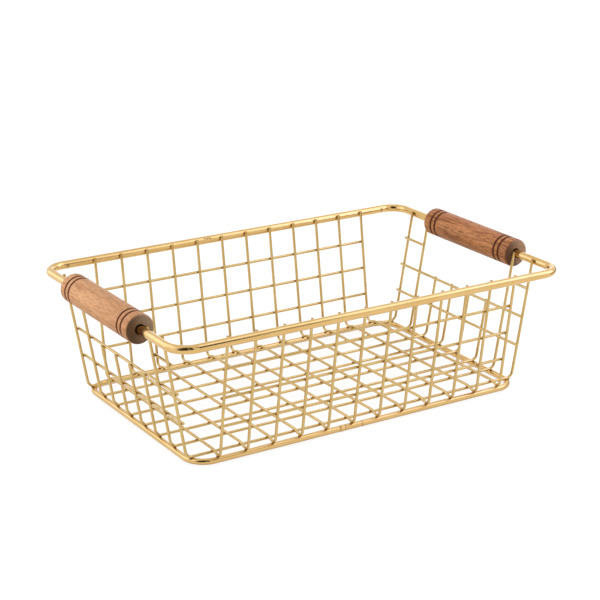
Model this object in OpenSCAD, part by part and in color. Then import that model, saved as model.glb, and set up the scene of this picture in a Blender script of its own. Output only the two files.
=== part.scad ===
// Wire basket with two turned wooden handles.
// A thick rim, a base ring of two halves and a cage of thin wires are welded together, and
// each handle turns on a short side of the rim. X runs along the basket, Y across it and Z up.
// The origin is on the ground, below the middle of the basket.

/* [Rim] */
// Length of the basket over the rim wire
rim_length = 373; // [345:1:410]
// Width of the basket over the rim wire
rim_width = 245; // [222:1:275]
// Height of the rim wire's top above the ground
rim_height = 111; // [102:1:130]
// Diameter of the rim wire
rim_wire_d = 7; // [5:0.1:9]
// Bend radius of the rim's corners, to the middle of the wire
rim_corner_r = 17; // [11:0.5:22]

/* [Base ring] */
// Length over the base ring
base_length = 321; // [300:1:340]
// Width over the base ring
base_width = 198; // [182:1:215]
// Diameter of the base ring's wire
base_wire_d = 5; // [4:0.1:6.5]
// Bend radius of the base ring's corners, to the middle of the wire
base_corner_r = 17.5; // [10:0.5:24]
// How far left of the middle the base ring's two halves are butt welded
base_joint_left = 22.5; // [0:0.5:30]

/* [Mesh] */
// Diameter of the mesh wire
mesh_wire_d = 2.4; // [1.8:0.1:3]
// Distance from the base ring's middle line to the first cross wire
cross_wire_inset = 20.5; // [14:0.5:30]
// Distance from the base ring's middle line to the first long wire
long_wire_inset = 9; // [8:0.25:16]
// Bend radius of the cross wires' heels on the base ring
cross_heel_r = 5; // [4:0.25:6]
// Bend radius of the long wires' heels on the base ring
long_heel_r = 6; // [4.5:0.25:8]
// How far a cross heel's centre lies inside the base ring's middle line
cross_heel_in = 1; // [0.5:0.1:2]
// How far a long heel's centre lies inside the base ring's middle line
long_heel_in = 2.5; // [1.5:0.1:4]
// Bend radius where a cross wire dips from the floor to the base ring
dip_r = 4; // [3:0.25:5]
// How far the wires' top ends stand above the middle of the rim wire
top_end_h = 2.8; // [1.5:0.1:3.2]

/* [Rails] */
// Height of the lowest rail on the long walls
long_wall_rail_z = 31.3; // [24:0.1:36]
// Height of the lowest rail on the end walls
end_wall_rail_z = 35.2; // [26:0.1:40]
// Height from one rail to the next
rail_pitch = 25; // [20:0.5:27]
// How far a rail's ends pass the middle of the wires that they are welded to
rail_end = 1.2; // [0.5:0.1:2]

/* [Handles] */
// Diameter of the wooden handles
handle_d = 24.5; // [20:0.5:30]
// Room between a handle's end and the mesh wire beside it
handle_end_gap = 1.8; // [1:0.1:3]
// Width of the edge that is rounded off at a handle's ends
handle_round_r = 1.6; // [0.5:0.1:3]
// Room round the rim wire inside a handle's bore
bore_clearance = 0.08; // [0.05:0.01:0.1]
// Room round the rim wire in the wider mouths of the bore
mouth_room = 1; // [0.4:0.1:2]
// Depth of the bore's wider mouths
mouth_depth = 4; // [2:0.5:8]
// Distance from a handle's end to the middle of its outer groove
groove_inset = 10; // [6:0.5:14]
// Distance from the outer groove to the inner one
groove_pitch = 5.5; // [3:0.25:8]
// Width of the burnt grooves
groove_w = 1.1; // [0.6:0.1:2]
// Depth of the burnt grooves
groove_depth = 0.6; // [0.3:0.1:1.2]

/* [Hidden] */
// Room left at every weld, so that wires that touch don't share a face
weld_gap = 0.05;
// How far a cut runs past the face that it starts from
overrun = 1;
// How much thinner the mesh wire is in its bends than in its straight runs
bend_thinning = 0.02;
// How far a straight run reaches into the thinner bends at its ends
run_lap = 0.15;
// Degrees that a bend runs on before it is cut
spare_turn = 12;

cross_count = 12;
long_count = 8;
rail_rows = 3;
// The handle lies between the second long wire and the second last
handle_bay = long_count - 3;
// Long wires at each edge that reach the rim; those between them stop at the middle rail
tall_per_edge = 2;

// Facets of the round shapes
wire_facets = 32;
handle_facets = 96;

gold = "#D9B47A";
left_wood = "#C69B7B";
right_wood = "#A9705A";

rim_x = (rim_length - rim_wire_d) / 2;
rim_y = (rim_width - rim_wire_d) / 2;
rim_z = rim_height - rim_wire_d / 2;
base_x = (base_length - base_wire_d) / 2;
base_y = (base_width - base_wire_d) / 2;
base_z = base_wire_d / 2;

cross_pitch = 2 * (base_x - cross_wire_inset) / (cross_count - 1);
long_pitch = 2 * (base_y - long_wire_inset) / (long_count - 1);

// Distances between the middle lines of two wires that are welded to each other
mesh_to_mesh = mesh_wire_d + weld_gap;
mesh_to_base = (mesh_wire_d + base_wire_d) / 2 + weld_gap;
mesh_to_rim = (mesh_wire_d + rim_wire_d) / 2 + weld_gap;

// A bend is [across, up, radius]: its centre in the plane of the wire and its radius, which is
// negative where the wire turns clockwise. A wire's heading is its angle above the ground.
function heel(base_at, heel_in, r) =
    [base_at - heel_in, base_z + sqrt(pow(r + mesh_to_base, 2) - pow(heel_in, 2)), r];
function heading(a, b) =
    atan2(b[1] - a[1], b[0] - a[0]) + asin((a[2] - b[2]) / norm([b[0] - a[0], b[1] - a[1]]));
function tangent_point(bend, angle) =
    [bend[0] + bend[2] * sin(angle), bend[1] - bend[2] * cos(angle)];
function along(point, angle, distance) = point + distance * [cos(angle), sin(angle)];
function square_to(point, angle, distance) = point + distance * [-sin(angle), cos(angle)];

long_heel = heel(base_x, long_heel_in, long_heel_r);
long_floor_z = long_heel[1] - long_heel_r;
long_rim_touch = [rim_x, rim_z, -mesh_to_rim];
long_lean = heading(long_heel, long_rim_touch);
long_leg_foot = tangent_point(long_heel, long_lean);

cross_floor_z = long_floor_z + mesh_to_mesh;
cross_dip = [base_y - long_wire_inset, cross_floor_z - dip_r, -dip_r];
cross_heel = heel(base_y, cross_heel_in, cross_heel_r);
cross_rim_touch = [rim_y, rim_z, -mesh_to_rim];
cross_lean = heading(cross_heel, cross_rim_touch);
cross_leg_foot = tangent_point(cross_heel, cross_lean);

top_z = rim_z + top_end_h;
// The short long wires end level with the top of the rail that holds them
short_top_z = end_wall_rail_z + rail_pitch + mesh_wire_d / 2;

handle_len = handle_bay * long_pitch - mesh_wire_d - 2 * handle_end_gap;
bore_d = rim_wire_d + 2 * bore_clearance;
mouth_d = rim_wire_d + 2 * mouth_room;

function cross_x(i) = -(base_x - cross_wire_inset) + (i - 1) * cross_pitch;
function long_y(j) = (base_y - long_wire_inset) - (j - 1) * long_pitch;
function is_tall(j) = j <= tall_per_edge || j > long_count - tall_per_edge;

// The point of a leg that is at height z, and the middle of a rail welded beside it there.
// The side is 1 for a rail inside the legs and -1 for one outside them.
function leg_point(foot, lean, z) = along(foot, lean, (z - foot[1]) / sin(lean));
function rail_place(foot, lean, z, side) =
    square_to(leg_point(foot, lean, z), lean, side * mesh_to_mesh);

rail_names = ["low", "middle", "top"];
function two_digits(n) = n < 10 ? str("0", n) : str(n);
function cross_name(i) = str("cross_wire_", two_digits(i));
function long_name(j) = str("long_wire_", j);

// A bend that starts at the origin along Z and turns about X, with its centre to one side.
// It is made a little too long and cut square where the next run starts, and it is a little
// thinner than the runs, as wire is where it has been bent.
module wire_bend(radius, turn, d) {
    reach = 2 * (abs(radius) + d);
    difference() {
        mirror([0, radius > 0 ? 0 : 1, 0]) translate([0, -abs(radius), 0]) rotate([90, 0, 90])
            rotate_extrude(angle = abs(turn) + spare_turn, $fn = wire_facets * 2)
                translate([abs(radius), 0]) circle(d = d - bend_thinning, $fn = wire_facets);
        after_bend(radius, turn) translate([-reach, -reach, 0]) cube(2 * reach);
    }
}

// Carries its children to the far end of such a bend
module after_bend(radius, turn) {
    translate([0, -radius, 0]) rotate([turn, 0, 0]) translate([0, radius, 0]) children();
}

// Bends and runs in turn, [bend radius, turn, run] each, from the end of the wire's first run.
// A run laps into the bends at its ends; only the last one ends where it says.
module wire_route(steps, d, at = 0) {
    run = steps[at][2];
    last = at == len(steps) - 1;
    wire_bend(steps[at][0], steps[at][1], d);
    after_bend(steps[at][0], steps[at][1]) {
        translate([0, 0, -run_lap])
            cylinder(h = run + (last ? 1 : 2) * run_lap, d = d, $fn = wire_facets);
        if (!last) translate([0, 0, run]) wire_route(steps, d, at + 1);
    }
}

// A mesh wire in the plane across X, the same on both sides: along the floor, through its
// bends and up both walls to leg_top_z
module mesh_wire(bends, rim_touch, floor_z, leg_top_z) {
    last = len(bends) - 1;
    stops = concat(bends, [rim_touch]);
    turns = concat([0], [for (i = [0:last]) heading(stops[i], stops[i + 1])]);
    starts = [for (i = [0:last]) tangent_point(stops[i], turns[i + 1])];
    ends = concat([for (i = [0:last - 1]) tangent_point(stops[i + 1], turns[i + 1])],
        [leg_point(starts[last], turns[last + 1], leg_top_z)]);
    steps = [for (i = [0:last])
        [stops[i][2], turns[i + 1] - turns[i], norm(ends[i] - starts[i])]];
    floor_end = bends[0][0];
    translate([0, -floor_end - run_lap, floor_z]) rotate([-90, 0, 0])
        cylinder(h = 2 * (floor_end + run_lap), d = mesh_wire_d, $fn = wire_facets);
    for (side = [0, 1]) mirror([0, side, 0]) translate([0, floor_end, floor_z])
        rotate([-90, 0, 0]) wire_route(steps, mesh_wire_d);
}

// A closed loop of wire that lies level, with round corners
module level_loop(half_x, half_y, z, corner_r, d) {
    straight_x = half_x - corner_r;
    straight_y = half_y - corner_r;
    for (side = [-1, 1]) {
        translate([-straight_x, side * half_y, z])
            rotate([0, 90, 0]) cylinder(h = 2 * straight_x, d = d, $fn = wire_facets);
        translate([side * half_x, straight_y, z])
            rotate([90, 0, 0]) cylinder(h = 2 * straight_y, d = d, $fn = wire_facets);
    }
    for (corner = [[1, 1, 0], [-1, 1, 90], [-1, -1, 180], [1, -1, 270]])
        translate([corner[0] * straight_x, corner[1] * straight_y, z])
            rotate([0, 0, corner[2]])
                rotate_extrude(angle = 90, $fn = wire_facets * 2)
                    translate([corner_r, 0]) circle(d = d, $fn = wire_facets);
}

module top_rim() {
    color(gold) level_loop(rim_x, rim_y, rim_z, rim_corner_r, rim_wire_d);
}

// Half of the base ring: all that lies on one side of its butt welds
module base_ring(end) {
    joint_x = end * weld_gap / 2 - base_joint_left;
    color(gold) intersection() {
        level_loop(base_x, base_y, base_z, base_corner_r, base_wire_d);
        translate([end < 0 ? joint_x - base_length : joint_x, -base_width, -overrun])
            cube([base_length, 2 * base_width, base_wire_d + 2 * overrun]);
    }
}

// Runs under the load across the floor, dips onto the base ring and stands up both long walls
module cross_wire(i) {
    color(gold) translate([cross_x(i), 0, 0])
        mesh_wire([cross_dip, cross_heel], cross_rim_touch, cross_floor_z, top_z);
}

// Runs along the floor beneath the cross wires and stands up both end walls
module long_wire(j) {
    color(gold) translate([0, long_y(j), 0]) rotate([0, 0, -90])
        mesh_wire([long_heel], long_rim_touch, long_floor_z, is_tall(j) ? top_z : short_top_z);
}

// A rail along a long wall: inside the legs at the front, outside them at the back
module long_wall_rail(wall, k) {
    place = rail_place(cross_leg_foot, cross_lean, long_wall_rail_z + k * rail_pitch, -wall);
    start_x = cross_x(1) - rail_end;
    color(gold) translate([start_x, wall * place[0], place[1]])
        rotate([0, 90, 0]) cylinder(h = -2 * start_x, d = mesh_wire_d, $fn = wire_facets);
}

// A rail along an end wall, inside the legs, from one long wire to another
module end_wall_rail(end, k, from_j, to_j) {
    place = rail_place(long_leg_foot, long_lean, end_wall_rail_z + k * rail_pitch, 1);
    start_y = long_y(from_j) + rail_end;
    color(gold) translate([end * place[0], start_y, place[1]])
        rotate([90, 0, 0])
            cylinder(h = start_y - long_y(to_j) + rail_end, d = mesh_wire_d, $fn = wire_facets);
}

// The lathe's profile of a handle, to one side of its axis
module handle_profile() {
    handle_r = handle_d / 2;
    difference() {
        translate([bore_d / 2, 0]) square([handle_r - bore_d / 2, handle_len]);
        for (end = [0, 1]) translate([0, end * handle_len]) mirror([0, end]) {
            translate([0, -overrun]) square([mouth_d / 2, mouth_depth + overrun]);
            translate([handle_r - handle_round_r, -overrun]) difference() {
                square([handle_round_r + overrun, handle_round_r + overrun]);
                translate([0, handle_round_r + overrun]) circle(r = handle_round_r, $fn = wire_facets);
            }
            for (inset = [groove_inset, groove_inset + groove_pitch])
                translate([handle_r, inset])
                    scale([groove_depth / (groove_w / 2), 1])
                        circle(d = groove_w, $fn = wire_facets);
        }
    }
}

// A turned handle that the rim's short side runs through
module handle(end, wood) {
    color(wood) translate([end * rim_x, handle_len / 2, rim_z])
        rotate([90, 0, 0])
            rotate_extrude($fn = handle_facets) handle_profile();
}

top_rim();
base_ring(-1);  // base_ring_left
base_ring(1);  // base_ring_right
for (i = [1:cross_count])
    cross_wire(i);
for (j = [1:long_count])
    long_wire(j);
for (k = [0:rail_rows - 1]) {
    long_wall_rail(-1, k);
    long_wall_rail(1, k);
}
for (k = [0:rail_rows - 2]) {
    end_wall_rail(-1, k, 1, long_count);
    end_wall_rail(1, k, 1, long_count);
}
for (end = [-1, 1]) {
    end_name = end < 0 ? "left" : "right";
    end_wall_rail(end, rail_rows - 1, 1, tall_per_edge);
    end_wall_rail(end, rail_rows - 1, long_count - tall_per_edge + 1, long_count);
}
handle(-1, left_wood);  // left_handle
handle(1, right_wood);  // right_handle
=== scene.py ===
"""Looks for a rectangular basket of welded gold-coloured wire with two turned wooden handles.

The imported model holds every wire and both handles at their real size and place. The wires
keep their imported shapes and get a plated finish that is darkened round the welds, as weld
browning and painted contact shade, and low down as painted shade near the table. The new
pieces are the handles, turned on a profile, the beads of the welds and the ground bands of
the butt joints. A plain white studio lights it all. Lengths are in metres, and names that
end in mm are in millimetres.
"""
import logging
import math
import random
from dataclasses import dataclass
from enum import Enum
from functools import reduce
from typing import Iterable, Sequence, Union

import bpy
from mathutils import Matrix, Vector


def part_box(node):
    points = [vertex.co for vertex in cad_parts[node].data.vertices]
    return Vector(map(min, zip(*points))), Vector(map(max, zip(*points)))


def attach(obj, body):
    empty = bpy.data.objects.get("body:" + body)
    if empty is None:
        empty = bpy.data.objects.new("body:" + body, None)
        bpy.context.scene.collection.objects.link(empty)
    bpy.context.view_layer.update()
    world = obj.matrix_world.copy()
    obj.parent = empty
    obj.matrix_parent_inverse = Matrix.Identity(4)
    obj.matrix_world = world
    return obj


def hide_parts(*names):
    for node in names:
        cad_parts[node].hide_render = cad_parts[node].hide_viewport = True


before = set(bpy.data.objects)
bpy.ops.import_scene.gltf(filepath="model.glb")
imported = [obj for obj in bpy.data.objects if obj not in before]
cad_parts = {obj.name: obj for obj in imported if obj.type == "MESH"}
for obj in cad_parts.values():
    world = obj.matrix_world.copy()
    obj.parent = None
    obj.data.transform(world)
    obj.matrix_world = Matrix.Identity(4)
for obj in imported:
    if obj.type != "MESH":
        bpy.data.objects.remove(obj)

LOG = logging.getLogger("basket")
MM = 0.001

Colour = tuple[float, float, float]
Point = tuple[float, float, float]
Span = tuple[float, float]


# Shader building

class Value:
    """A number in a shader. Reckoning with it adds the Math nodes that do the sum."""

    def __init__(self, shader: "Shader", socket: bpy.types.NodeSocket) -> None:
        """Wraps a socket.

        Args:
            shader: The shader that the socket is in.
            socket: The socket that gives the number.
        """
        self.shader = shader
        self.socket = socket

    def maths(self, operation: str, *terms: "Term") -> "Value":
        """Adds a Math node.

        Args:
            operation: The node's operation.
            *terms: What its inputs take, in order.

        Returns:
            The node's result.
        """
        node = self.shader.node("ShaderNodeMath", {"operation": operation}, dict(enumerate(terms)))
        return Value(self.shader, node.outputs[0])

    def __add__(self, other: "Term") -> "Value":
        """Self plus other."""
        return self.maths("ADD", self, other)

    __radd__ = __add__

    def __mul__(self, other: "Term") -> "Value":
        """Self times other."""
        return self.maths("MULTIPLY", self, other)

    __rmul__ = __mul__

    def __sub__(self, other: "Term") -> "Value":
        """Self minus other."""
        return self.maths("SUBTRACT", self, other)

    def __rsub__(self, other: "Term") -> "Value":
        """Other minus self."""
        return self.maths("SUBTRACT", other, self)

    def __abs__(self) -> "Value":
        """Self without its sign."""
        return self.maths("ABSOLUTE", self)

    def sign(self) -> "Value":
        """One with self's sign."""
        return self.maths("SIGN", self)

    def larger(self, other: "Term") -> "Value":
        """The larger of self and other."""
        return self.maths("MAXIMUM", self, other)

    def to_nearest(self, first: float, pitch: float) -> "Value":
        """How far self is from the nearest of a row of places.

        Args:
            first: One of the places.
            pitch: The distance from one place to the next.

        Returns:
            The distance, from nothing to half the pitch.
        """
        return self.maths("PINGPONG", self - first, pitch / 2)

    def fade(self, full: float, none: float) -> "Value":
        """A mask that goes smoothly from one to nothing.

        Args:
            full: Where the mask is one.
            none: Where the mask is nothing.

        Returns:
            The mask.
        """
        node = self.shader.node(
            "ShaderNodeMapRange",
            {"interpolation_type": "SMOOTHSTEP"},
            {"Value": self, "From Min": full, "From Max": none, "To Min": 1.0, "To Max": 0.0},
        )
        return Value(self.shader, node.outputs[0])


Term = Union[Value, float]


class Shader:
    """The nodes of a material or of the world, under construction."""

    def __init__(self, owner: bpy.types.Material | bpy.types.World) -> None:
        """Starts with no nodes.

        Args:
            owner: The material or world that the nodes are for.
        """
        owner.use_nodes = True
        self.owner = owner
        self.tree = owner.node_tree
        self.tree.nodes.clear()

    @classmethod
    def material(cls, name: str) -> "Shader":
        """Starts a new material of a name."""
        return cls(bpy.data.materials.new(name))

    def node(self, kind: str, settings: dict | None = None, inputs: dict | None = None) -> bpy.types.Node:
        """Adds a node.

        Args:
            kind: The node's type.
            settings: The node's own settings, which are set first.
            inputs: Values or links for its inputs, by name or number.

        Returns:
            The node.
        """
        node = self.tree.nodes.new(kind)
        for key, value in (settings or {}).items():
            setattr(node, key, value)
        for key, value in (inputs or {}).items():
            self.feed(node.inputs[key], value)
        return node

    def feed(self, socket: bpy.types.NodeSocket, value: object) -> None:
        """Sets or links an input.

        Args:
            socket: The input.
            value: A number, a colour, a vector, a Value or another node's output.
        """
        if isinstance(value, Value):
            value = value.socket
        if isinstance(value, bpy.types.NodeSocket):
            self.tree.links.new(value, socket)
        elif isinstance(value, tuple) and socket.type == "RGBA":
            socket.default_value = (*value, 1.0)
        else:
            socket.default_value = value

    def place_mm(self, centre_mm: Point = (0.0, 0.0, 0.0)) -> bpy.types.NodeSocket:
        """The place on the piece.

        Args:
            centre_mm: The centre that it is measured from.

        Returns:
            The place in millimetres.
        """
        object_place = self.node("ShaderNodeTexCoord").outputs["Object"]
        return self.node(
            "ShaderNodeMapping",
            None,
            {"Vector": object_place, "Scale": (1 / MM,) * 3, "Location": tuple(-c for c in centre_mm)},
        ).outputs[0]

    def axes(self, vector: bpy.types.NodeSocket) -> tuple[Value, Value, Value]:
        """The three numbers of a vector."""
        parts = self.node("ShaderNodeSeparateXYZ", None, {0: vector})
        return tuple(Value(self, out) for out in parts.outputs)

    def stretched(self, vector: bpy.types.NodeSocket, scale: Point) -> bpy.types.NodeSocket:
        """A vector scaled along its axes."""
        return self.node("ShaderNodeMapping", None, {"Vector": vector, "Scale": scale}).outputs[0]

    def noise(
        self, vector: bpy.types.NodeSocket, scale: float, detail: float = 2.0, warp: float = 0.0
    ) -> Value:
        """Soft noise round one half.

        Args:
            vector: The place.
            scale: How many bumps there are in a unit of the place.
            detail: How many finer layers it has.
            warp: How far it is pulled about.

        Returns:
            The noise.
        """
        inputs = {"Vector": vector, "Scale": scale, "Detail": detail, "Distortion": warp}
        return Value(self, self.node("ShaderNodeTexNoise", None, inputs).outputs[0])

    def mix(self, factor: Term, first: object, second: object) -> bpy.types.NodeSocket:
        """A colour between two.

        Args:
            factor: Nothing gives the first colour and one the second.
            first: A colour or a link.
            second: A colour or a link.

        Returns:
            The mixed colour.
        """
        node = self.node("ShaderNodeMix", {"data_type": "RGBA"}, {0: factor, 6: first, 7: second})
        return node.outputs[2]

    def length(self, *parts: Value) -> Value:
        """How long a line is.

        Args:
            *parts: How far it goes along each axis.

        Returns:
            The length.
        """
        vector = self.node("ShaderNodeCombineXYZ", None, dict(enumerate(parts)))
        norm = self.node("ShaderNodeVectorMath", {"operation": "LENGTH"}, {0: vector.outputs[0]})
        return Value(self, norm.outputs["Value"])

    def bump(self, height: Value, depth_mm: float, strength: float) -> bpy.types.NodeSocket:
        """Normals of a surface that a height lifts.

        Args:
            height: From nothing to one.
            depth_mm: What a height of one stands for.
            strength: How much of it shows.

        Returns:
            The normals.
        """
        inputs = {"Height": height, "Distance": depth_mm * MM, "Strength": strength}
        return self.node("ShaderNodeBump", None, inputs).outputs[0]

    def surface(self, **inputs: object) -> bpy.types.Material:
        """Ends the material in a Principled surface.

        Args:
            **inputs: The surface's inputs, with _ for each space in their names.

        Returns:
            The finished material.
        """
        named = {key.replace("_", " "): value for key, value in inputs.items()}
        shader = self.node("ShaderNodeBsdfPrincipled", None, named)
        return self.end(shader.outputs[0])

    def end(self, shader: bpy.types.NodeSocket) -> bpy.types.Material:
        """Sends a shader to the output and gives the material back."""
        self.node("ShaderNodeOutputMaterial", None, {"Surface": shader})
        return self.owner


# The basket's sizes

@dataclass(frozen=True)
class Leg:
    """Where the legs of one family of wires stand, in the plane of such a wire.

    Attributes:
        foot: How far out and how high a leg starts, in mm.
        lean: The leg's angle above the ground, in degrees.
        rail_z: The height of the lowest rail on it, in mm.
    """

    foot: Span
    lean: float
    rail_z: float

    @property
    def slope(self) -> float:
        """How far out the leg goes for each mm up."""
        return 1 / math.tan(math.radians(self.lean))

    def out_at(self, z: float) -> float:
        """How far out the leg's middle is at a height, in mm."""
        return self.foot[0] + (z - self.foot[1]) * self.slope


@dataclass(frozen=True)
class Cage:
    """The sizes of the welded cage that the welds follow, in mm.

    Attributes:
        pitch: From one wire of the mesh to the next.
        half_pitch: From the basket's middle to the nearest wires.
        rail_pitch: The height from one rail to the next.
        rail_rows: How many rails stand above one another.
        wire_r: The mesh wire's radius.
        rim_r: The rim wire's radius.
        ring_r: The base ring wire's radius.
        rim_out: How far out the rim's middle line is along X and Y.
        rim_z: The height of the rim's middle line.
        ring_out: How far out the base ring's middle line is along X and Y.
        cross_leg: The legs of the cross wires.
        long_leg: The legs of the long wires.
        floor_weld_z: The height at which the wires of the floor touch.
        cross_heel: The centre of a cross wire's heel bend: how far out and how high.
        long_heel: The same for a long wire.
        cross_count: How many cross wires there are.
        long_count: How many long wires there are.
        tall_per_edge: How many long wires at each edge reach the rim.
    """

    pitch: float = 25.0
    half_pitch: float = 12.5
    rail_pitch: float = 25.0
    rail_rows: int = 3
    wire_r: float = 1.2
    rim_r: float = 3.5
    ring_r: float = 2.5
    rim_out: Span = (183.0, 119.0)
    rim_z: float = 107.5
    ring_out: Span = (158.0, 96.5)
    cross_leg: Leg = Leg((100.45, 10.49), 81.9, 31.3)
    long_leg: Leg = Leg((161.4, 10.87), 79.9, 35.2)
    floor_weld_z: float = 7.15
    cross_heel: Span = (95.5, 11.19)
    long_heel: Span = (155.5, 11.92)
    cross_count: int = 12
    long_count: int = 8
    tall_per_edge: int = 2

    def rim_weld(self, leg: Leg, rim_out: float) -> Span:
        """Where a leg touches the rim: how far out and how high."""
        lean = math.radians(leg.lean)
        return rim_out - self.rim_r * math.sin(lean), self.rim_z + self.rim_r * math.cos(lean)

    def ring_weld(self, heel: Span, ring_out: float) -> Span:
        """Where a heel sits on the base ring.

        Args:
            heel: The centre of the heel's bend: how far out and how high.
            ring_out: How far out the ring's middle line is.

        Returns:
            How far out and how high the two wires touch.
        """
        across, up = heel[0] - ring_out, heel[1] - self.ring_r
        far = math.hypot(across, up)
        return ring_out + self.ring_r * across / far, self.ring_r * (1 + up / far)

    def cross_places(self) -> list[float]:
        """Where the cross wires stand along X."""
        return [(i - (self.cross_count - 1) / 2) * self.pitch for i in range(self.cross_count)]

    def long_places(self) -> list[float]:
        """Where the long wires lie along Y."""
        return [(i - (self.long_count - 1) / 2) * self.pitch for i in range(self.long_count)]


CAGE = Cage()


# Finishes

@dataclass(frozen=True)
class GoldFinish:
    """Polished gold-coloured plating on drawn steel wire, darkened round the welds by browning and painted
    contact shade.

    Attributes:
        name: The material's name.
        bright: The plating at its palest.
        deep: The plating at its deepest.
        heat: The plating beside a weld: browned, and darkened as painted contact shade.
        foot: Painted shade near the table: the darker plating colour low down on the thick wires.
        roughness: How dull the plating is at least.
        lines: How much duller the drawing lines make it.
        dent_mm: How deep its shallow waves are.
        weld_tint_and_shade_share: How strong the browning and painted contact shade are.
        painted_foot_shade_share: How strong the painted shade near the table is.
        painted_foot_shade_mm: The heights between which the painted shade near the table fades out.
        heat_dulls: How much duller a weld makes the plating.
        mesh_mark: Where the darkening round a mesh weld ends and is all gone, in mm from it.
        rim_mark: The same for a weld on the rim.
        ring_mark: The same for a weld on the base ring.
        nicks: Where thin dark lines run across the wire, in mm.
        nick_mm: Half a nick's width, and where it is all gone.
        nick_reach: How far round its place a nick goes, and where it is all gone, in mm.
    """

    name: str
    bright: Colour = (0.74, 0.495, 0.203)
    deep: Colour = (0.70, 0.452, 0.172)
    heat: Colour = (0.36, 0.175, 0.05)
    foot: Colour = (0.36, 0.21, 0.07)
    roughness: float = 0.14
    lines: float = 0.04
    dent_mm: float = 0.006
    weld_tint_and_shade_share: float = 0.7
    painted_foot_shade_share: float = 0.0
    painted_foot_shade_mm: Span = (0.3, 2.9)
    heat_dulls: float = 0.25
    mesh_mark: Span = (0.6, 1.6)
    rim_mark: Span = (0.9, 2.0)
    ring_mark: Span = (0.8, 1.8)
    nicks: tuple[Point, ...] = ()
    nick_mm: Span = (0.25, 0.6)
    nick_reach: Span = (3.6, 4.4)

    def weld_mask(self, shader: Shader, place: bpy.types.NodeSocket) -> Value:
        """How much a place is darkened by the nearest weld, as browning and painted contact shade.

        Args:
            shader: The shader that it is part of.
            place: The place in mm.

        Returns:
            One at a weld and nothing a little away from it.
        """
        x, y, z = shader.axes(place)
        out_x, out_y = abs(x), abs(y)
        row_x = x.to_nearest(CAGE.half_pitch, CAGE.pitch)
        row_y = y.to_nearest(CAGE.half_pitch, CAGE.pitch)
        touch = CAGE.wire_r
        ragged = shader.noise(place, 0.9, 3.0) * 1.3 + 0.35

        def spot(span: Span, *parts: Value) -> Value:
            """The mark round the point that these parts of the way lead to."""
            return (shader.length(*parts) * ragged).fade(*span)

        cross, long = CAGE.cross_leg, CAGE.long_leg
        wall_y = out_y - (z - cross.foot[1]) * cross.slope - cross.foot[0] - y.sign() * touch
        wall_x = out_x - (z - long.foot[1]) * long.slope - long.foot[0] + touch
        rim_y, rim_y_z = CAGE.rim_weld(cross, CAGE.rim_out[1])
        rim_x, rim_x_z = CAGE.rim_weld(long, CAGE.rim_out[0])
        ring_y, ring_y_z = CAGE.ring_weld(CAGE.cross_heel, CAGE.ring_out[1])
        ring_x, ring_x_z = CAGE.ring_weld(CAGE.long_heel, CAGE.ring_out[0])
        spots = [
            spot(self.mesh_mark, row_x, row_y, z - CAGE.floor_weld_z),
            spot(self.mesh_mark, row_x, z.to_nearest(cross.rail_z, CAGE.rail_pitch), wall_y),
            spot(self.mesh_mark, row_y, z.to_nearest(long.rail_z, CAGE.rail_pitch), wall_x),
            spot(self.rim_mark, row_x, out_y - rim_y, z - rim_y_z),
            spot(self.rim_mark, row_y, out_x - rim_x, z - rim_x_z),
            spot(self.ring_mark, row_x, out_y - ring_y, z - ring_y_z),
            spot(self.ring_mark, row_y, out_x - ring_x, z - ring_x_z),
        ]
        for at_x, at_y, at_z in self.nicks:
            near = shader.length(x - at_x, y - at_y, z - at_z).fade(*self.nick_reach)
            spots.append(abs(x - at_x).fade(*self.nick_mm) * near)
        return reduce(Value.larger, spots)

    def build(self) -> bpy.types.Material:
        """Makes the material.

        Returns:
            The material.
        """
        shader = Shader.material(self.name)
        place = shader.place_mm()
        weld_tint_and_shade_mask = self.weld_mask(shader, place)
        cloud = shader.noise(place, 0.06, 3.0).fade(0.7, 0.3)
        grain = shader.noise(place, 3.1, 3.0)
        plated = shader.mix(cloud, self.bright, self.deep)
        # Painted shade: low down, near the table, the plating is darkened towards the foot colour.
        low = shader.axes(place)[2].fade(*self.painted_foot_shade_mm)
        plated = shader.mix(low * self.painted_foot_shade_share, plated, self.foot)
        # Painted contact shade, with weld browning: the plating darkens round every weld and nick.
        colour = shader.mix(weld_tint_and_shade_mask * self.weld_tint_and_shade_share, plated, self.heat)
        roughness = grain * self.lines + weld_tint_and_shade_mask * self.heat_dulls + self.roughness
        dents = shader.bump(shader.noise(place, 0.22, 1.0), self.dent_mm, 0.6)
        return shader.surface(
            Base_Color=colour,
            Metallic=1.0,
            Roughness=roughness,
            Normal=dents,
        )


@dataclass(frozen=True)
class BeadFinish:
    """Molten metal that has set: dull, brown and rough under a thin plating.

    Attributes:
        name: The material's name.
        bright: Its palest lumps.
        dark: Its darkest hollows.
    """

    name: str = "weld_bead"
    bright: Colour = (0.50, 0.32, 0.11)
    dark: Colour = (0.25, 0.13, 0.04)

    def build(self) -> bpy.types.Material:
        """Makes the material.

        Returns:
            The material.
        """
        shader = Shader.material(self.name)
        place = shader.place_mm()
        lumps = shader.noise(place, 1.4, 4.0)
        colour = shader.mix(lumps.fade(0.62, 0.42), self.dark, self.bright)
        return shader.surface(
            Base_Color=colour,
            Metallic=1.0,
            Roughness=lumps * 0.3 + 0.22,
            Normal=shader.bump(lumps, 0.12, 0.8),
        )


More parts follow.
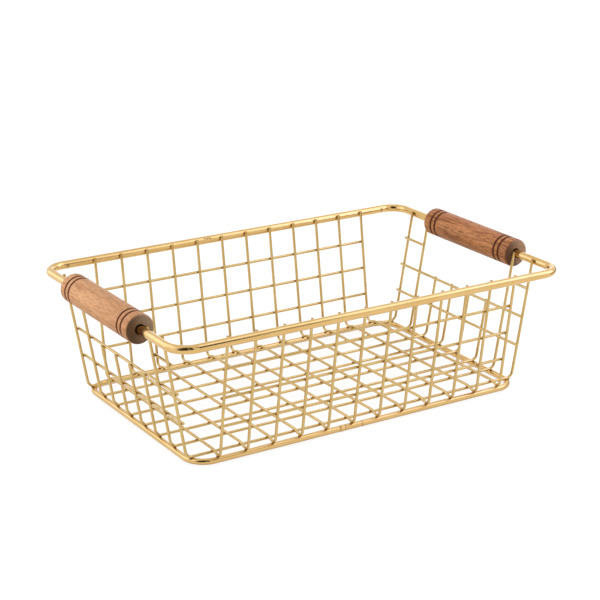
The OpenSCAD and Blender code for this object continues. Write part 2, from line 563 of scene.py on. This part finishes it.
@dataclass(frozen=True)
class WoodFinish:
    """Turned hardwood, sanded and lightly oiled, with burnt grooves.

    Attributes:
        name: The material's name.
        centre_mm: The middle of the handle.
        pale: The lightest wood.
        mid: The wood's common colour.
        dark: The dark growth lines.
        end_grain_and_painted_shade: The darkest part of the sawn ends: dark end grain, and painted shade on
            their -X side.
        end_pale_and_painted_light: The palest part of the sawn ends: paler rings, and painted light on their
            +X side.
        figure: How strong the growth lines are.
        flecks: How strong the short dark flecks are.
        slant: How the board lay round the handle, in radians.
        painted_light_side: Painted light: how much paler one side of the handle is than the other.
        grooves: How far from the middle the burnt grooves are, in mm.
        front_shade: How much darker the wood grows towards its front end.
        half_length_mm: Half the handle's length.
        radius_mm: The handle's radius.
        bore_edge_mm: How far from the axis the bore's painted shade is full, and where it is gone and the end
            wood starts.
        burn_mm: Half the width of a burnt line, and where it is all gone.
        soot_mm: The same for the soot beside it.
        burn: How strong the burnt lines are.
        soot: How strong the soot is.
        char: The colour of the burnt lines.
        bore: Painted shade inside the bore and round its mouth: nearly black.
    """

    name: str
    centre_mm: Point
    pale: Colour
    mid: Colour
    dark: Colour
    end_grain_and_painted_shade: Colour
    end_pale_and_painted_light: Colour
    figure: float
    flecks: float
    slant: float
    painted_light_side: float
    grooves: tuple[float, ...]
    front_shade: float = 0.0
    half_length_mm: float = 59.5
    radius_mm: float = 12.25
    bore_edge_mm: Span = (4.1, 4.7)
    burn_mm: Span = (0.95, 1.4)
    soot_mm: Span = (0.95, 2.3)
    burn: float = 0.96
    soot: float = 0.45
    char: Colour = (0.120, 0.028, 0.003)
    bore: Colour = (0.045, 0.020, 0.009)

    def build(self) -> bpy.types.Material:
        """Makes the material.

        Returns:
            The material.
        """
        shader = Shader.material(self.name)
        place = shader.place_mm(self.centre_mm)
        turned = shader.node(
            "ShaderNodeMapping", None, {"Vector": place, "Rotation": (0.05, self.slant, 0.06)}
        ).outputs[0]
        x, y, z = shader.axes(place)
        out = shader.length(x, z, y * 0.0)
        along = abs(y)

        rings = shader.noise(shader.stretched(turned, (0.34, 0.012, 0.05)), 1.0, 3.0, 0.8)
        bands = (rings * 9.0).to_nearest(0.0, 1.0) * 2.0
        fibres = shader.noise(shader.stretched(place, (2.2, 0.07, 2.2)), 1.0, 5.0)
        pores = shader.noise(shader.stretched(turned, (5.5, 0.28, 5.5)), 1.0, 2.0).fade(0.70, 0.60)
        dashes = shader.noise(shader.stretched(turned, (1.25, 0.13, 1.25)), 1.0, 3.0, 0.6)
        streaks = shader.noise(shader.stretched(turned, (0.38, 0.022, 0.38)), 1.0, 3.0, 1.2)
        patches = shader.noise(shader.stretched(place, (0.10, 0.03, 0.10)), 1.0, 2.0)
        # Painted light: one side of the handle, turned with the slant, is made paler than the other.
        painted_light_side = shader.axes(turned)[2].fade(self.radius_mm, -self.radius_mm)

        blend = fibres * 0.5 + streaks * 0.9 + painted_light_side * self.painted_light_side - 0.2 - self.painted_light_side / 2
        wood = shader.mix(blend.fade(0.36, 0.64), self.pale, self.mid)
        wood = shader.mix(bands.fade(1.0, 0.35) * patches.fade(0.66, 0.38) * self.figure, wood, self.dark)
        wood = shader.mix(dashes.fade(0.68, 0.52) * self.flecks, wood, self.dark)
        wood = shader.mix(pores * 0.55, wood, self.dark)
        wood = shader.mix(y.fade(-self.half_length_mm, 15.0) * self.front_shade, wood, self.mid)

        at_end = along.fade(self.half_length_mm - 0.05, self.half_length_mm - 0.75)
        speckle = shader.noise(shader.stretched(place, (0.9, 0.9, 0.9)), 1.0, 4.0)
        # Painted light on the sawn ends: each is dark on its -X side and pale on its +X side, with faint
        # rings.
        end_rings_and_painted_light = (x + z * 0.15 + speckle * 8.0 - 4.0).fade(9.0, -9.0)
        end_rings_and_painted_light = end_rings_and_painted_light * 0.8 + (out * 1.3 + speckle * 2.0).to_nearest(0.0, 1.6) * 0.2
        end_wood = shader.mix(end_rings_and_painted_light, self.end_grain_and_painted_shade, self.end_pale_and_painted_light)
        sawn = at_end * out.fade(self.radius_mm - 0.7, self.radius_mm - 0.2)
        wood = shader.mix(sawn, wood, end_wood)

        away = [abs(along - groove) for groove in self.grooves]
        burnt = reduce(Value.larger, [gap.fade(*self.burn_mm) for gap in away])
        sooty = reduce(Value.larger, [gap.fade(*self.soot_mm) for gap in away])
        wood = shader.mix(sooty * self.soot, wood, self.dark)
        wood = shader.mix(burnt * self.burn, wood, self.char)
        # Painted shade: the bore, its mouth and a thin ring of the end round it are painted nearly black.
        wood = shader.mix(out.fade(*self.bore_edge_mm), wood, self.bore)

        relief = (1.0 - pores) * 0.6 + fibres * 0.4
        return shader.surface(
            Base_Color=wood,
            Roughness=fibres * 0.14 + burnt * 0.2 + 0.46,
            Specular_IOR_Level=0.25,
            Coat_Weight=0.06 - burnt * 0.06,
            Coat_Roughness=0.30,
            Normal=shader.bump(relief, 0.10, 0.5),
        )


# Modelling

class Axis(Enum):
    """A line that a piece is turned round: its direction and the tilt of a circle across it."""

    X = ((1, 0, 0), (0, math.pi / 2, 0))
    Y = ((0, 1, 0), (math.pi / 2, 0, 0))


class Bench:
    """Work on meshes with Blender's own operators, as by hand."""

    SAME_SIZE = 1e-9
    MERGE = 1e-6
    SMOOTH_BELOW = math.radians(40)

    @staticmethod
    def clear() -> None:
        """Leaves nothing selected, in object mode."""
        if bpy.context.object and bpy.context.object.mode != "OBJECT":
            bpy.ops.object.mode_set(mode="OBJECT")
        bpy.ops.object.select_all(action="DESELECT")

    @staticmethod
    def turn(
        name: str, profile: Sequence[Span], middle: Vector, along: Axis, facets: int
    ) -> bpy.types.Object:
        """Turns a closed ring of material round an axis, one loop of the profile at a time.

        Args:
            name: The new piece's name.
            profile: How far along and how far out each loop is, once round the section.
            middle: The point of the axis that the profile is measured from.
            along: The axis.
            facets: How many sides the piece has.

        Returns:
            The piece.
        """
        Bench.clear()
        direction, tilt = along.value
        axis = Vector(direction)
        at, out = profile[0]
        bpy.ops.mesh.primitive_circle_add(
            vertices=facets, radius=out, location=middle + axis * at, rotation=tilt, fill_type="NOTHING"
        )
        piece = bpy.context.object
        piece.name = piece.data.name = name
        bpy.ops.object.mode_set(mode="EDIT")
        bpy.ops.mesh.select_all(action="SELECT")
        for next_at, next_out in [*profile[1:], profile[0]]:
            bpy.ops.mesh.extrude_region_move(TRANSFORM_OT_translate={"value": axis * (next_at - at)})
            grow = next_out / out
            if abs(grow - 1) > Bench.SAME_SIZE:
                scale = Vector((grow,) * 3) + axis * (1 - grow)
                bpy.ops.transform.resize(value=scale, center_override=middle + axis * next_at)
            at, out = next_at, next_out
        bpy.ops.mesh.select_all(action="SELECT")
        bpy.ops.mesh.remove_doubles(threshold=Bench.MERGE)
        bpy.ops.mesh.normals_make_consistent(inside=False)
        bpy.ops.object.mode_set(mode="OBJECT")
        bpy.ops.object.transform_apply(location=True, rotation=True, scale=True)
        bpy.ops.object.shade_smooth_by_angle(angle=Bench.SMOOTH_BELOW)
        return piece

    @staticmethod
    def join(name: str, pieces: Sequence[bpy.types.Object]) -> bpy.types.Object:
        """Joins pieces into one.

        Args:
            name: The new piece's name.
            pieces: What it is joined from.

        Returns:
            The new piece.
        """
        Bench.clear()
        for piece in pieces:
            piece.select_set(True)
        bpy.context.view_layer.objects.active = pieces[0]
        bpy.ops.object.join()
        joined = bpy.context.object
        joined.name = joined.data.name = name
        return joined

    @staticmethod
    def finish(piece: bpy.types.Object, material: bpy.types.Material, body: str, slot: str) -> None:
        """Dresses a piece and says what it rides on.

        Args:
            piece: The piece.
            material: Its material.
            body: The body that it moves with.
            slot: The record's material slot; not used.
        """
        piece.data.materials.clear()
        piece.data.materials.append(material)
        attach(piece, body)


class Side(Enum):
    """The end of the basket that a handle is on."""

    LEFT = "left"
    RIGHT = "right"


@dataclass
class TurnedHandle:
    """A wooden handle that turns on a short side of the rim.

    Attributes:
        side: The end of the basket that it is on.
        finish: Its wood.
        slot: The record's material slot.
        half_length: Half its length.
        radius: Its radius.
        bore_r: The radius of the bore round the rim wire.
        mouth_r: The radius of the bore's wider mouths.
        mouth_depth: How deep the mouths are.
        end_round: How wide the rounded edge of an end is.
        groove_half: Half a groove's width.
        groove_depth: How deep a groove is.
        groove_lip: How far the wood is worn down beside a groove.
        groove_rim: How far it is worn down where the groove starts.
        facets: How many sides it has.
    """

    side: Side
    finish: WoodFinish
    slot: str
    half_length: float = 59.5 * MM
    radius: float = 12.25 * MM
    bore_r: float = 3.58 * MM
    mouth_r: float = 4.15 * MM
    mouth_depth: float = 4.0 * MM
    end_round: float = 1.6 * MM
    groove_half: float = 0.65 * MM
    groove_depth: float = 0.6 * MM
    groove_lip: float = 0.03 * MM
    groove_rim: float = 0.09 * MM
    facets: int = 112

    def end_profile(self) -> list[Span]:
        """The section of one end, from the middle of the bore out to the middle of the body.

        Returns:
            How far along and how far out each of its points is.
        """
        end = self.half_length
        mouth = [
            (end - self.mouth_depth - 0.6 * MM, self.bore_r),
            (end - self.mouth_depth, self.mouth_r - 0.1 * MM),
            (end - self.mouth_depth * 0.5, self.mouth_r),
            (end - 0.3 * MM, self.mouth_r),
            (end - 0.08 * MM, self.mouth_r + 0.08 * MM),
            (end, self.mouth_r + 0.3 * MM),
            (end, self.radius * 0.66),
        ]
        edge = []
        for step in range(7):
            turn = math.pi / 2 * step / 6
            edge.append((
                end - self.end_round * (1 - math.cos(turn)),
                self.radius - self.end_round * (1 - math.sin(turn)),
            ))
        cuts = []
        for groove in self.finish.grooves:
            middle = groove * MM
            cuts.append((middle + self.groove_half * 2.2, self.radius))
            cuts.append((middle + self.groove_half * 1.25, self.radius - self.groove_lip))
            for share in (1.0, 0.7, 0.3, -0.3, -0.7, -1.0):
                deep = math.sqrt(max(0.0, 1 - share * share)) * self.groove_depth * 0.85
                cuts.append((middle + share * self.groove_half, self.radius - self.groove_rim - deep))
            cuts.append((middle - self.groove_half * 1.25, self.radius - self.groove_lip))
            cuts.append((middle - self.groove_half * 2.2, self.radius))
        return mouth + edge + cuts

    def build(self) -> bpy.types.Object:
        """Turns the handle and puts it in its node's place.

        Returns:
            The handle.
        """
        node = f"{self.side.value}_handle"
        low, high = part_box(node)
        middle = (low + high) / 2
        near = self.end_profile()
        body = [(place * self.half_length, self.radius) for place in (0.5, 0.0, -0.5)]
        far = [(-at, out) for at, out in reversed(near)]
        profile = [(0.0, self.bore_r), *near, *body, *far]
        piece = Bench.turn(f"{node}_turned", profile, middle, Axis.Y, self.facets)
        Bench.finish(piece, self.finish.build(), node, self.slot)
        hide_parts(node)
        return piece


@dataclass(frozen=True)
class Weld:
    """One weld between two wires.

    Attributes:
        place: Where they touch, in mm.
        normal: Which way their common normal points.
        size: How large its bead is beside the pattern.
    """

    place: Point
    normal: Point
    size: float


@dataclass(frozen=True)
class Wall:
    """One wall of the cage, in mm.

    Attributes:
        name: Its name.
        faces: The axis that it faces along.
        side: One at the axis's plus end and minus one at the other.
        rails_out: One where the rails lie outside of the upright wires, minus one inside.
        leg: The upright wires' legs.
        heel: The centre of their heel bends.
        rim_out: How far out the rim is.
        ring_out: How far out the base ring is.
        ring_normal: How far out and how far up the normal of a weld on the base ring points.
        wires: Where its upright wires stand.
        tall: Where those stand that reach the rim.
    """

    name: str
    faces: Axis
    side: int
    rails_out: int
    leg: Leg
    heel: Span
    rim_out: float
    ring_out: float
    ring_normal: Span
    wires: Sequence[float]
    tall: Sequence[float]

    def point(self, along: float, out: float, up: float) -> Point:
        """A point or a direction as the wall has it.

        Args:
            along: How far along the wall.
            out: How far out from the middle.
            up: How far up.

        Returns:
            The same in X, Y and Z.
        """
        if self.faces is Axis.Y:
            return along, self.side * out, up
        return self.side * out, along, up


@dataclass
class WeldBeads:
    """The beads of molten metal round every weld, in groups by the part of the basket.

    Attributes:
        finish: Their metal.
        radius: The pattern's radius.
        depth: How thick the pattern is.
        seed: What their chance sizes and turns start from.
        size_spread: The least and the most that chance makes of a bead's size.
        mesh_size: How large the beads between two mesh wires are beside the pattern.
        rim_size: The same for the beads on the rim.
        ring_size: The same for the beads on the base ring.
        seam_size: The same for the beads of the rim's seam.
        seam_beads: How many beads the rim's seam has.
        seam_start_mm: Where the seam starts along X.
        seam_step_mm: From one bead of the seam to the next.
    """

    finish: BeadFinish
    radius: float = 1.25 * MM
    depth: float = 0.62 * MM
    seed: int = 7
    size_spread: Span = (0.88, 1.1)
    mesh_size: float = 0.92
    rim_size: float = 1.1
    ring_size: float = 1.08
    seam_size: float = 0.42
    seam_beads: int = 12
    seam_start_mm: float = -29.5
    seam_step_mm: float = 0.62

    def pattern(self) -> bpy.types.Object:
        """Models one bead: a thick lens with a soft lip, its axis along Z.

        Returns:
            The bead that all others are copied from.
        """
        Bench.clear()
        bpy.ops.mesh.primitive_cylinder_add(
            vertices=10, radius=self.radius, depth=self.depth, end_fill_type="NGON"
        )
        bead = bpy.context.object
        bpy.ops.object.mode_set(mode="EDIT")
        bpy.ops.mesh.select_all(action="SELECT")
        bpy.ops.mesh.bevel(offset=self.depth * 0.36, segments=2, profile=0.6, affect="EDGES")
        bpy.ops.mesh.select_all(action="SELECT")
        bpy.ops.transform.vertex_random(offset=self.radius * 0.07, seed=self.seed)
        bpy.ops.object.mode_set(mode="OBJECT")
        bpy.ops.object.shade_smooth()
        return bead

    def group(
        self, name: str, welds: Iterable[Weld], pattern: bpy.types.Object, chance: random.Random
    ) -> bpy.types.Object:
        """Sets a bead at every weld of a group.

        Args:
            name: The group's name.
            welds: Where its welds are.
            pattern: The bead to copy.
            chance: What turns and sizes each bead.

        Returns:
            The group as one piece.
        """
        beads = []
        for weld in welds:
            bead = bpy.data.objects.new(name, pattern.data.copy())
            bpy.context.scene.collection.objects.link(bead)
            spin = Matrix.Rotation(chance.uniform(0, math.tau), 4, "Z")
            size = Matrix.Scale(weld.size * chance.uniform(*self.size_spread), 4)
            aim = Vector(weld.normal).to_track_quat("Z", "Y").to_matrix().to_4x4()
            bead.data.transform(Matrix.Translation(Vector(weld.place) * MM) @ aim @ spin @ size)
            beads.append(bead)
        return Bench.join(name, beads)

    def walls(self) -> list[Wall]:
        """Gathers the sizes of the cage's walls.

        Returns:
            The four walls.
        """
        xs, ys = CAGE.cross_places(), CAGE.long_places()
        tall = ys[:CAGE.tall_per_edge] + ys[-CAGE.tall_per_edge:]
        across = (CAGE.cross_leg, CAGE.cross_heel, CAGE.rim_out[1], CAGE.ring_out[1], (-0.11, 0.99), xs, xs)
        along = (CAGE.long_leg, CAGE.long_heel, CAGE.rim_out[0], CAGE.ring_out[0], (-0.26, 0.966), ys, tall)
        return [
            Wall("front", Axis.Y, -1, -1, *across),
            Wall("back", Axis.Y, 1, 1, *across),
            Wall("left", Axis.X, -1, -1, *along),
            Wall("right", Axis.X, 1, -1, *along),
        ]

    def wall_welds(self, wall: Wall) -> dict[str, list[Weld]]:
        """Finds the welds of one wall.

        Args:
            wall: The wall.

        Returns:
            The welds of its rails, of the rim and of the base ring, by group.
        """
        lean = math.radians(wall.leg.lean)
        normal = wall.point(0.0, math.sin(lean), -math.cos(lean))
        rails = []
        for row in range(CAGE.rail_rows):
            z = wall.leg.rail_z + row * CAGE.rail_pitch + wall.rails_out * CAGE.wire_r * math.cos(lean)
            out = wall.leg.out_at(z) + wall.rails_out * CAGE.wire_r / math.sin(lean)
            wires = wall.tall if row == CAGE.rail_rows - 1 else wall.wires
            rails += [Weld(wall.point(at, out, z), normal, self.mesh_size) for at in wires]
        rim = CAGE.rim_weld(wall.leg, wall.rim_out)
        ring = CAGE.ring_weld(wall.heel, wall.ring_out)
        ring_normal = wall.point(0.0, *wall.ring_normal)
        return {
            f"{wall.name}_rail_welds": rails,
            f"{wall.name}_rim_welds": [Weld(wall.point(at, *rim), normal, self.rim_size) for at in wall.tall],
            f"{wall.name}_ring_welds": [
                Weld(wall.point(at, *ring), ring_normal, self.ring_size) for at in wall.wires
            ],
        }

    def seam(self) -> list[Weld]:
        """Finds the beads of the butt weld at the back of the rim.

        Returns:
            An uneven row of small beads.
        """
        beads = []
        for step in range(self.seam_beads):
            turn = math.radians(38 + 11 * math.sin(step * 1.15))
            normal = (0.0, -math.cos(turn), math.sin(turn))
            middle = (self.seam_start_mm + step * self.seam_step_mm, CAGE.rim_out[1], CAGE.rim_z)
            place = tuple(c + CAGE.rim_r * n for c, n in zip(middle, normal))
            beads.append(Weld(place, normal, self.seam_size))
        return beads

    def welds(self) -> dict[str, list[Weld]]:
        """Gathers every weld of the basket.

        Returns:
            The welds by group.
        """
        floor = [(x, y, CAGE.floor_weld_z) for x in CAGE.cross_places() for y in CAGE.long_places()]
        groups = {"floor_welds": [Weld(place, (0, 0, 1), self.mesh_size) for place in floor]}
        for wall in self.walls():
            groups.update(self.wall_welds(wall))
        groups["rim_seam_weld"] = self.seam()
        return groups

    def build(self) -> None:
        """Makes every group of beads."""
        chance = random.Random(self.seed)
        material = self.finish.build()
        pattern = self.pattern()
        for name, welds in self.welds().items():
            piece = self.group(name, welds, pattern, chance)
            Bench.finish(piece, material, "basket", "gold_wire")
            LOG.info("%s: %d beads", name, len(welds))
        bpy.data.objects.remove(pattern)


@dataclass
class ButtJoint:
    """The ground band where the two ends of a thick wire are welded end to end.

    Attributes:
        name: The piece's name.
        middle_mm: Where it is on the wire's middle line.
        wire_mm: The wire's radius.
        half_mm: Half the band's length.
        ground_mm: How high above the table the grinding leaves its underside.
        facets: How many sides it has.
    """

    name: str
    middle_mm: Point
    wire_mm: float
    half_mm: float = 2.6
    ground_mm: float = 0.02
    facets: int = 48

    def build(self, material: bpy.types.Material) -> bpy.types.Object:
        """Turns the band round its wire and grinds its underside flush with the table.

        Args:
            material: The wire's plating.

        Returns:
            The band.
        """
        proud = [(-1.0, -0.06), (-0.8, 0.02), (-0.5, 0.16), (-0.25, 0.25), (0.0, 0.24),
                 (0.25, 0.26), (0.5, 0.15), (0.8, 0.02), (1.0, -0.06), (1.0, -0.4), (-1.0, -0.4)]
        profile = [(at * self.half_mm * MM, (self.wire_mm + out) * MM) for at, out in proud]
        piece = Bench.turn(self.name, profile, Vector(self.middle_mm) * MM, Axis.X, self.facets)
        bpy.ops.object.mode_set(mode="EDIT")
        bpy.ops.mesh.select_all(action="SELECT")
        cut = (0, 0, self.ground_mm * MM)
        bpy.ops.mesh.bisect(plane_co=cut, plane_no=(0, 0, 1), use_fill=True, clear_inner=True)
        bpy.ops.object.mode_set(mode="OBJECT")
        Bench.finish(piece, material, "basket", "gold_rim")
        return piece


# Studio

@dataclass(frozen=True)
class Panel:
    """A light or dark panel of the studio, by the angles that it fills as seen from the basket.

    Attributes:
        left: One side's direction, in degrees round from +X towards +Y.
        right: The other side's direction.
        low: The height of its foot, in degrees.
        high: The height of its top, in degrees.
        level: How bright it is.
        far: How far off it stands, in metres.
        colour: Its colour.
    """

    left: float
    right: float
    low: float
    high: float
    level: float
    far: float = 1.9
    colour: Colour = (1.0, 0.95, 0.88)


@dataclass
class Studio:
    """A white table in a plain studio, seen as in the photograph.

    Attributes:
        lens: The camera's lens, in mm.
        sensor: The width of the camera's picture, in mm.
        azimuth: How far round from the front the camera stands, in degrees.
        elevation: How far down it looks, in degrees.
        camera_place: Where it stands.
        table_size: The length of the table's sides.
        floor_colour: The table's own colour.
        floor_glow: What is added for the rays that show the background.
        far_glow: What is added to that far from the basket, where the lamps are weak.
        far_mm: Where that is added in full and where it ends, in mm.
        sky: The world's strength as a light.
        eye: The height that the panels' angles are taken from.
        target: What the lamps face.
        panels: The panels round the table.
    """

    lens: float = 100.26
    sensor: float = 36.0
    azimuth: float = 32.18
    elevation: float = 18.95
    camera_place: Point = (-0.71684, -1.13649, 0.54183)
    table_size: float = 12.0
    floor_colour: Colour = (0.30, 0.30, 0.30)
    floor_glow: float = 0.82
    far_glow: float = 0.10
    far_mm: Span = (1100.0, 350.0)
    sky: float = 0.5
    eye: float = 0.1075
    target: Point = (0.0, 0.0, 0.06)
    panels: tuple[Panel, ...] = (
        Panel(204, 213, -4, 52, 0.25, 1.3),
        Panel(213, 228, -4, 66, 0.05, 1.3),
        Panel(228, 245, 0, 74, 0.02, 1.2),
        Panel(245, 262, 5, 75, 0.02, 0.9),
        Panel(262, 276, 12, 56, 0.03, 0.36),
        Panel(276, 284, 14, 46, 0.35, 0.31),
        Panel(284, 290, 17, 44, 0.75, 0.3),
        Panel(322, 392, -14, 2, 0.25, 0.75),
        Panel(40, 75, 27, 56, 0.85),
        Panel(24, 68, 5, 26, 1.5, 0.9, (0.97, 1.0, 1.15)),
        Panel(317, 345, 9, 46, 2.2, 0.55, (0.95, 1.0, 1.5)),
        Panel(300, 320, 34, 60, 1.6, 1.9, (0.97, 1.0, 1.2)),
        Panel(320, 345, 32, 63, 1.9, 1.9, (0.97, 1.0, 1.2)),
        Panel(345, 368, 28, 62, 1.85, 1.9, (0.97, 1.0, 1.25)),
        Panel(115, 160, 2, 58, 1.75, 0.6, (0.97, 1.0, 1.2)),
        Panel(160, 195, 10, 52, 1.45, 0.6, (0.97, 1.0, 1.2)),
    )

    def camera(self) -> None:
        """Puts the camera where the photograph was taken from."""
        data = bpy.data.cameras.new("camera")
        data.lens, data.sensor_width = self.lens, self.sensor
        data.clip_start, data.clip_end = 0.05, 50.0
        camera = bpy.data.objects.new("camera", data)
        camera.location = self.camera_place
        camera.rotation_euler = (math.radians(90 - self.elevation), 0, math.radians(-self.azimuth))
        bpy.context.scene.collection.objects.link(camera)
        bpy.context.scene.camera = camera

    @staticmethod
    def seen(shader: Shader) -> Value:
        """Tells the rays that show the background from those that light.

        Args:
            shader: The shader that it is part of.

        Returns:
            One for the rays that show it, and nothing for the others.
        """
        path = shader.node("ShaderNodeLightPath")
        shown = Value(shader, path.outputs["Is Camera Ray"])
        for name in ("Is Glossy Ray", "Is Transmission Ray"):
            shown = shown.larger(Value(shader, path.outputs[name]))
        return shown

    def floor(self) -> None:
        """Lays the white table, which keeps the basket's shadow."""
        Bench.clear()
        bpy.ops.mesh.primitive_plane_add(size=self.table_size)
        floor = bpy.context.object
        floor.name = "table"
        shader = Shader.material("white_table")
        cloth = shader.node("ShaderNodeBsdfDiffuse", None, {"Color": self.floor_colour})
        x, y, _ = shader.axes(shader.place_mm())
        away = shader.length(x, y, x * 0.0).fade(*self.far_mm)
        strength = self.seen(shader) * (away * self.far_glow + self.floor_glow)
        glow = shader.node("ShaderNodeEmission", None, {"Strength": strength})
        both = shader.node("ShaderNodeAddShader", None, {0: cloth.outputs[0], 1: glow.outputs[0]})
        floor.data.materials.append(shader.end(both.outputs[0]))

    def sky_light(self) -> None:
        """Makes the world: white to look at, softer as a light."""
        world = bpy.data.worlds.new("studio")
        bpy.context.scene.world = world
        shader = Shader(world)
        shown = self.seen(shader)
        strength = shown * (1.0 - self.sky) + self.sky
        white = {"Color": (1.0, 1.0, 1.0), "Strength": strength}
        light = shader.node("ShaderNodeBackground", None, white)
        shader.node("ShaderNodeOutputWorld", None, {"Surface": light.outputs[0]})

    def lamp(self, name: str, place: Point, size: Span, watts: float) -> None:
        """Hangs a softbox that faces the basket. Polished metal shows the panels instead.

        Args:
            name: Its name.
            place: Where it hangs.
            size: Its width and height.
            watts: Its power.
        """
        data = bpy.data.lights.new(name, "AREA")
        data.shape, data.size, data.size_y = "RECTANGLE", *size
        data.energy = watts
        lamp = bpy.data.objects.new(name, data)
        lamp.location = place
        aim = Vector(self.target) - Vector(place)
        lamp.rotation_euler = aim.to_track_quat("-Z", "Y").to_euler()
        lamp.visible_glossy = False
        bpy.context.scene.collection.objects.link(lamp)

    def panel(self, name: str, panel: Panel) -> None:
        """Stands a panel round the table, which only polished metal shows.

        Args:
            name: Its name.
            panel: Where it stands and how bright it is.
        """
        Bench.clear()
        turn = math.radians((panel.left + panel.right) / 2)
        half = math.radians(abs(panel.left - panel.right) / 2)
        low, high = (self.eye + panel.far * math.tan(math.radians(a)) for a in (panel.low, panel.high))
        bpy.ops.mesh.primitive_plane_add(size=1)
        card = bpy.context.object
        card.name = name
        card.scale = (2 * panel.far * math.tan(half), high - low, 1)
        card.rotation_euler = (math.pi / 2, 0, turn - math.pi / 2)
        card.location = (panel.far * math.cos(turn), panel.far * math.sin(turn), (low + high) / 2)
        shader = Shader.material(name)
        glow = shader.node("ShaderNodeEmission", None, {"Color": panel.colour, "Strength": panel.level})
        card.data.materials.append(shader.end(glow.outputs[0]))
        for ray in ("camera", "diffuse", "shadow", "transmission", "volume_scatter"):
            setattr(card, f"visible_{ray}", False)

    def build(self) -> None:
        """Sets up the whole studio."""
        self.camera()
        self.floor()
        self.sky_light()
        self.lamp("left_softbox", (-1.15, 0.40, 0.28), (1.8, 0.5), 9.4)
        self.lamp("right_softbox", (0.55, -0.15, 0.90), (0.7, 0.7), 4.2)
        for number, panel in enumerate(self.panels, 1):
            self.panel(f"room_panel_{number}", panel)
        bpy.context.scene.view_settings.view_transform = "Standard"


# The whole basket

def dress_wires() -> bpy.types.Material:
    """Gives every packed wire its plating.

    Returns:
        The plating of the thick wires.
    """
    nicks = tuple((x, y, 2.5) for y in (-96.5, 96.5) for x in (-25.0, -20.0)) + ((-3.5, -96.5, 2.5),)
    # The thick wires get painted shade near the table.
    thick = GoldFinish("gold_thick_wire", painted_foot_shade_share=0.75, nicks=nicks).build()
    thin = GoldFinish(
        "gold_mesh_wire",
        bright=(0.65, 0.46, 0.187),
        deep=(0.59, 0.402, 0.148),
        roughness=0.17,
        weld_tint_and_shade_share=0.55,
    ).build()
    for name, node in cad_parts.items():
        if name.endswith("_handle"):
            continue
        material = thick if name.startswith(("top_rim", "base_ring")) else thin
        node.data.materials.clear()
        node.data.materials.append(material)
        LOG.info("%s: %s", name, material.name)
    return thick


def main() -> None:
    """Builds the looks in order."""
    logging.basicConfig(level=logging.INFO, format="%(name)s: %(message)s")
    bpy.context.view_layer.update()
    thick = dress_wires()
    WeldBeads(BeadFinish()).build()
    for joint in (
        ButtJoint("ring_front_butt_joint", (-22.5, -96.5, 2.5), 2.5),
        ButtJoint("ring_back_butt_joint", (-22.5, 96.5, 2.5), 2.5),
    ):
        LOG.info("%s made", joint.build(thick).name)
    pale = WoodFinish(
        "peach_hardwood", (-183.0, 0.0, 107.5), pale=(0.79, 0.412, 0.183), mid=(0.56, 0.24, 0.09),
        dark=(0.30, 0.115, 0.042), end_grain_and_painted_shade=(0.150, 0.066, 0.024), end_pale_and_painted_light=(0.58, 0.40, 0.26),
        figure=0.4, flecks=0.6, slant=0.5, painted_light_side=0.12, front_shade=0.5, grooves=(50.1, 43.9),
    )
    red = WoodFinish(
        "red_brown_hardwood", (183.0, 0.0, 107.5), pale=(0.66, 0.28, 0.10), mid=(0.39, 0.126, 0.034),
        dark=(0.11, 0.032, 0.010), end_grain_and_painted_shade=(0.16, 0.062, 0.024), end_pale_and_painted_light=(0.72, 0.44, 0.28),
        figure=0.7, flecks=0.7, slant=2.2, painted_light_side=0.12, grooves=(49.3, 43.2),
    )
    for handle in (TurnedHandle(Side.LEFT, pale, "pale_wood"), TurnedHandle(Side.RIGHT, red, "red_wood")):
        LOG.info("%s made", handle.build().name)
    Studio().build()


if __name__ == "__main__":
    main()
